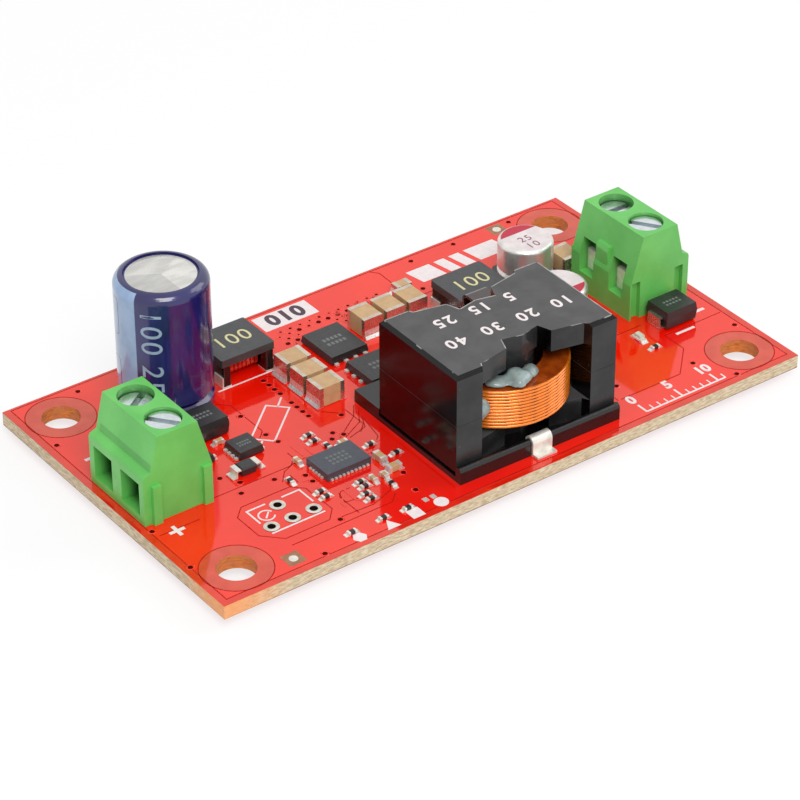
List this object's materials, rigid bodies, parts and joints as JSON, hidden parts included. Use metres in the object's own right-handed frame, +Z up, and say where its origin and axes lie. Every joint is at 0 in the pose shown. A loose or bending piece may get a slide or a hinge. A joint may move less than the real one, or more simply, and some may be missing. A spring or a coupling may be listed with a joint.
{
  "type": "buck converter module",
  "caption": "Step-down power converter board with screw terminal blocks, a shielded flat-wire inductor, filter chokes and capacitors, on a red circuit board with corner mounting holes.",
  "frame": {"origin": "centre of the four mounting holes, at the underside of the board", "axes": "+X along the board from the input block to the output block, +Z up through the board, towards the parts"},
  "size_m": [0.075, 0.042, 0.0192],
  "materials": {
    "board_mask": "glossy red solder mask over glass-epoxy laminate",
    "tin": "bright tin",
    "solder": "satin solder",
    "terminal_plastic": "satin moulded green",
    "screw_zinc": "zinc-plated steel",
    "cage_steel": "zinc-plated steel",
    "contact_brass": "tinned brass",
    "can_aluminium": "satin aluminium",
    "sleeve_blue": "glossy shrunk sleeve with a pale stripe",
    "bung_rubber": "matte rubber",
    "bobbin_black": "satin black moulding",
    "ferrite": "ground ferrite, lacquered sides",
    "copper_enamel": "orange enamelled copper",
    "glue": "cured grey adhesive",
    "choke_ferrite": "dark ferrite",
    "choke_plate": "grey top plate",
    "choke_wire": "red enamelled copper",
    "ceramic_tan": "fired ceramic",
    "mould_black": "moulded epoxy",
    "mould_grey": "moulded epoxy",
    "resistor_film": "coated ceramic",
    "lamp_white": "white ceramic",
    "lamp_clear": "clear resin"
  },
  "bodies": {
    "root": {"board": "board_mask", "plated_holes": "tin", "solder_joints": "solder", "solder_fillets": "solder", "input_terminal_housing": "terminal_plastic", "input_terminal_contacts": "contact_brass", "output_terminal_housing": "terminal_plastic", "output_terminal_contacts": "contact_brass", "electrolytic_can": "can_aluminium", "electrolytic_sleeve": "sleeve_blue", "electrolytic_bung": "bung_rubber", "electrolytic_leads": "tin", "inductor_base": "bobbin_black", "inductor_core_lower": "ferrite", "inductor_core_upper": "ferrite", "inductor_winding": "copper_enamel", "inductor_clip": "tin", "inductor_adhesive": "glue", "choke_cores": "choke_ferrite", "choke_plates": "choke_plate", "choke_windings": "choke_wire", "choke_terminals": "tin", "ceramic_capacitor_bodies": "ceramic_tan", "ceramic_capacitor_ends": "tin", "small_capacitor_bodies": "ceramic_tan", "small_capacitor_ends": "tin", "power_transistor_bodies": "mould_black", "power_transistor_leads": "tin", "input_transistor_body": "mould_black", "input_transistor_leads": "tin", "controller_body": "mould_grey", "controller_contacts": "tin", "polymer_cans": "can_aluminium", "polymer_bases": "bobbin_black", "polymer_leads": "tin", "large_diode_bodies": "mould_black", "large_diode_leads": "tin", "small_diode_body": "mould_black", "small_diode_leads": "tin", "signal_transistor_body": "mould_black", "signal_transistor_leads": "tin", "resistor_bodies": "resistor_film", "resistor_ends": "tin", "lamp_body": "lamp_white", "lamp_lens": "lamp_clear", "lamp_ends": "tin"},
    "input_near_screw": {"input_near_screw": "screw_zinc"},
    "input_near_cage": {"input_near_cage": "cage_steel"},
    "input_far_screw": {"input_far_screw": "screw_zinc"},
    "input_far_cage": {"input_far_cage": "cage_steel"},
    "output_near_screw": {"output_near_screw": "screw_zinc"},
    "output_near_cage": {"output_near_cage": "cage_steel"},
    "output_far_screw": {"output_far_screw": "screw_zinc"},
    "output_far_cage": {"output_far_cage": "cage_steel"}
  },
  "joints": [
    {"name": "input_near_screw_turn", "type": "hinge", "parent": "root", "child": "input_near_screw", "pos_m": [-0.03225, -0.00284, 0.0095], "axis": [0, 0, -1], "range_deg": [0, 1008.1]},
    {"name": "input_near_cage_rise", "type": "slide", "parent": "root", "child": "input_near_cage", "axis": [0, 0, 1], "range_m": [0, 0.0014]},
    {"name": "input_far_screw_turn", "type": "hinge", "parent": "root", "child": "input_far_screw", "pos_m": [-0.03225, 0.00224, 0.0095], "axis": [0, 0, -1], "range_deg": [0, 1008.1]},
    {"name": "input_far_cage_rise", "type": "slide", "parent": "root", "child": "input_far_cage", "axis": [0, 0, 1], "range_m": [0, 0.0014]},
    {"name": "output_near_screw_turn", "type": "hinge", "parent": "root", "child": "output_near_screw", "pos_m": [0.0311, -0.00234, 0.0095], "axis": [0, 0, -1], "range_deg": [0, 1008.1]},
    {"name": "output_near_cage_rise", "type": "slide", "parent": "root", "child": "output_near_cage", "axis": [0, 0, 1], "range_m": [0, 0.0014]},
    {"name": "output_far_screw_turn", "type": "hinge", "parent": "root", "child": "output_far_screw", "pos_m": [0.0311, 0.00274, 0.0095], "axis": [0, 0, -1], "range_deg": [0, 1008.1]},
    {"name": "output_far_cage_rise", "type": "slide", "parent": "root", "child": "output_far_cage", "axis": [0, 0, 1], "range_m": [0, 0.0014]}
  ],
  "couplings": [
    {"joint": "input_near_screw_turn", "follows": "input_near_cage_rise", "rad_per_m": 12566},
    {"joint": "input_far_screw_turn", "follows": "input_far_cage_rise", "rad_per_m": 12566},
    {"joint": "output_near_screw_turn", "follows": "output_near_cage_rise", "rad_per_m": 12566},
    {"joint": "output_far_screw_turn", "follows": "output_far_cage_rise", "rad_per_m": 12566}
  ]
}
